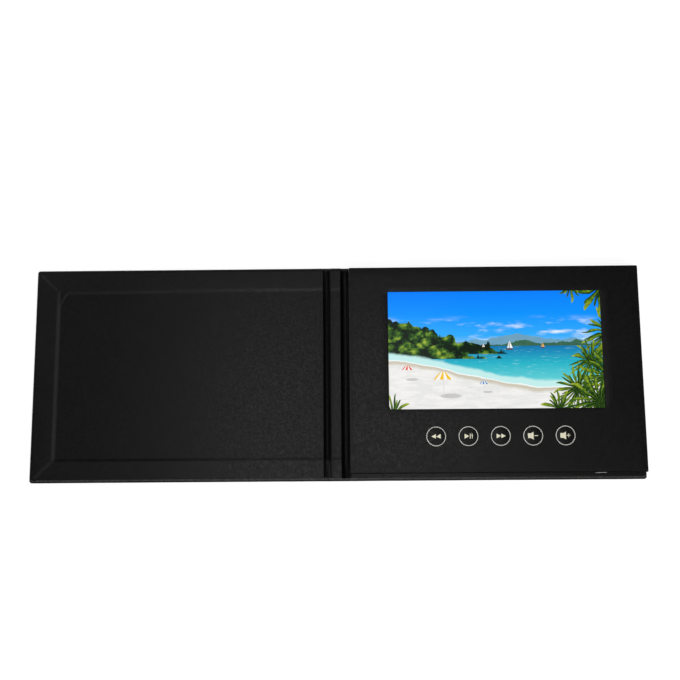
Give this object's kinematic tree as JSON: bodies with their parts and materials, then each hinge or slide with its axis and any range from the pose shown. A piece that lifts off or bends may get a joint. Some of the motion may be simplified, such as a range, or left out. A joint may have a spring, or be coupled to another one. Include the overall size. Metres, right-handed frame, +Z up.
{
  "type": "video brochure",
  "caption": "Hard-cover folder in black imitation leather that opens like a book; its back half holds a thin box with a landscape screen over a row of round keys.",
  "frame": {"origin": "middle of the footprint of the open, flat brochure, on the surface that it lies on", "axes": "+X from the front cover's fore edge to the back cover's fore edge, +Y towards the head of the page, +Z up out of the screen"},
  "size_m": [0.4414, 0.1556, 0.0108],
  "materials": {
    "leatherette": "fine-grained black imitation leather",
    "lining": "fine-grained black imitation leather, thinner",
    "greyboard": "dense grey book board",
    "magnet": "nickel-plated",
    "speaker_magnet": "nickel-plated",
    "adhesive": "double-sided film",
    "foam": "closed-cell foam",
    "tray_steel": "thin stamped steel",
    "light_guide": "clear acrylic and white film",
    "screen": "glossy lit screen, a picture of sky, sea and sand",
    "flat_cable": "amber polyimide",
    "key_caps": "black, grained like the face",
    "plungers": "moulded",
    "switches": "moulded",
    "circuit_board": "green solder mask",
    "chips": "moulded epoxy",
    "connectors": "natural nylon",
    "socket_steel": "plated folded steel",
    "battery_pouch": "laminated pouch foil",
    "lead_insulation": "flexible insulation",
    "speaker_plastic": "moulded",
    "speaker_paper": "coated paper"
  },
  "bodies": {
    "block": {"back_board": "greyboard", "back_wrap": "leatherette", "back_lining": "lining", "back_hinge_strip": "leatherette", "block_adhesive": "adhesive", "base_card": "greyboard", "tail_rail": "greyboard", "head_rail": "greyboard", "hinge_rail": "greyboard", "fore_rail": "greyboard", "face_panel": "greyboard", "block_skin": "leatherette", "foam_core": "foam", "screen_tray": "tray_steel", "backlight": "light_guide", "screen_glass": "screen", "screen_gasket": "foam", "screen_cable": "flat_cable", "switch_bodies": "switches", "button_board": "circuit_board", "button_ribbon": "flat_cable", "main_board": "circuit_board", "board_chips": "chips", "board_connectors": "connectors", "magnet_sensor": "chips", "micro_socket": "socket_steel", "battery": "battery_pouch", "battery_leads": "lead_insulation", "speaker_frames": "speaker_plastic", "speaker_magnets": "speaker_magnet", "speaker_cones": "speaker_paper", "speaker_leads": "lead_insulation"},
    "spine": {"spine_board": "greyboard", "spine_wrap": "leatherette", "spine_lining": "lining", "front_hinge_strip": "leatherette"},
    "front_cover": {"front_board": "greyboard", "front_wrap": "leatherette", "front_lining": "lining", "closing_magnet": "magnet"},
    "rewind_button": {"rewind_key": "key_caps", "rewind_plunger": "plungers"},
    "play_button": {"play_key": "key_caps", "play_plunger": "plungers"},
    "forward_button": {"forward_key": "key_caps", "forward_plunger": "plungers"},
    "volume_down_button": {"volume_down_key": "key_caps", "volume_down_plunger": "plungers"},
    "volume_up_button": {"volume_up_key": "key_caps", "volume_up_plunger": "plungers"}
  },
  "joints": [
    {"name": "spine_fold", "type": "hinge", "parent": "block", "child": "spine", "pos_m": [0.00668, 0, 0.0003], "axis": [0, 1, 0], "range_deg": [0, 90], "deforming": ["back_hinge_strip"]},
    {"name": "cover_fold", "type": "hinge", "parent": "spine", "child": "front_cover", "pos_m": [-0.00668, 0, 0.0003], "axis": [0, 1, 0], "range_deg": [0, 90], "deforming": ["front_hinge_strip"]},
    {"name": "rewind_press", "type": "slide", "parent": "block", "child": "rewind_button", "axis": [0, 0, -1], "range_m": [0, 0.0003], "stiffness_N_per_m": 900, "springref_m": -0.0004},
    {"name": "play_press", "type": "slide", "parent": "block", "child": "play_button", "axis": [0, 0, -1], "range_m": [0, 0.0003], "stiffness_N_per_m": 900, "springref_m": -0.0004},
    {"name": "forward_press", "type": "slide", "parent": "block", "child": "forward_button", "axis": [0, 0, -1], "range_m": [0, 0.0003], "stiffness_N_per_m": 900, "springref_m": -0.0004},
    {"name": "volume_down_press", "type": "slide", "parent": "block", "child": "volume_down_button", "axis": [0, 0, -1], "range_m": [0, 0.0003], "stiffness_N_per_m": 900, "springref_m": -0.0004},
    {"name": "volume_up_press", "type": "slide", "parent": "block", "child": "volume_up_button", "axis": [0, 0, -1], "range_m": [0, 0.0003], "stiffness_N_per_m": 900, "springref_m": -0.0004}
  ]
}
